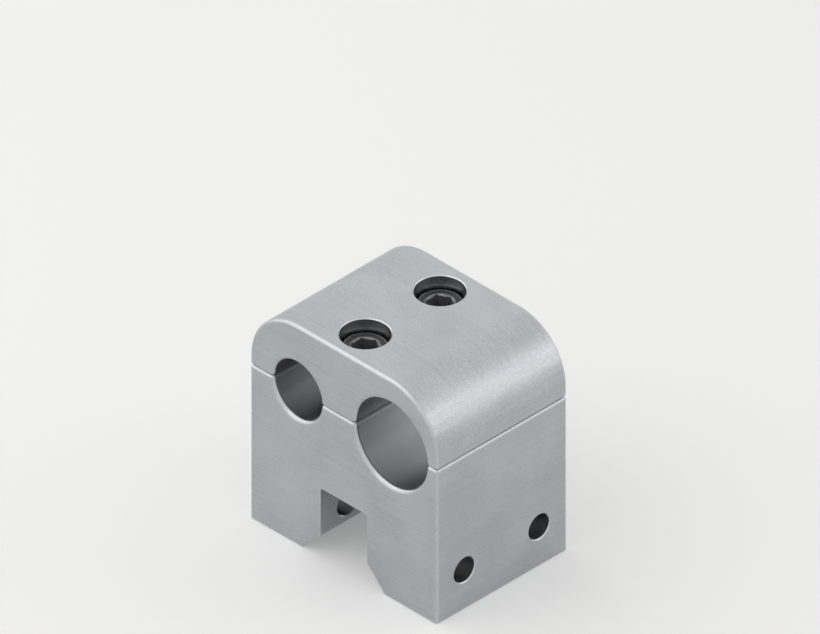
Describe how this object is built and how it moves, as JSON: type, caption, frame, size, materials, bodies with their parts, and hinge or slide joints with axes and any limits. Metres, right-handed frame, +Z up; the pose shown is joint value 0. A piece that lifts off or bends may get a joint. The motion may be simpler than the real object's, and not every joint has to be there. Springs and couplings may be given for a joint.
{
  "type": "hydraulic tube clamp",
  "caption": "Forked clamp block with a screwed, round-shouldered cap that grips parallel hydraulic tubes of different size and bolts through its legs across a plate.",
  "frame": {"origin": "centre of the foot, on the surface that the two legs stand on", "axes": "+X across the tubes towards the large one, +Y along the tubes, +Z up towards the cap"},
  "size_m": [0.1, 0.07, 0.101],
  "materials": {
    "block": "machined and bead-blasted, clear anodised",
    "screw": "black oxide on alloy steel, lightly oiled",
    "washer": "zinc plated steel"
  },
  "bodies": {
    "base": {"base": "block"},
    "cap": {"cap": "block"},
    "washer_front": {"washer_front": "washer"},
    "washer_rear": {"washer_rear": "washer"},
    "screw_front": {"screw_front": "screw"},
    "screw_rear": {"screw_rear": "screw"}
  },
  "joints": [
    {"name": "cap_lift", "type": "slide", "parent": "base", "child": "cap", "axis": [0, 0, 1], "range_m": [0, 0.05]},
    {"name": "front_screw_rise", "type": "slide", "parent": "cap", "child": "washer_front", "axis": [0, 0, 1], "range_m": [0, 0.02275]},
    {"name": "front_screw_turn", "type": "hinge", "parent": "washer_front", "child": "screw_front", "pos_m": [-0.00317, -0.02, 0.0834], "axis": [0, 0, 1], "range_deg": [0, 4680]},
    {"name": "rear_screw_rise", "type": "slide", "parent": "cap", "child": "washer_rear", "axis": [0, 0, 1], "range_m": [0, 0.02275]},
    {"name": "rear_screw_turn", "type": "hinge", "parent": "washer_rear", "child": "screw_rear", "pos_m": [-0.00317, 0.02, 0.0834], "axis": [0, 0, 1], "range_deg": [0, 4680]}
  ],
  "couplings": [
    {"joint": "front_screw_turn", "follows": "front_screw_rise", "rad_per_m": 3590.4},
    {"joint": "rear_screw_turn", "follows": "rear_screw_rise", "rad_per_m": 3590.4}
  ]
}
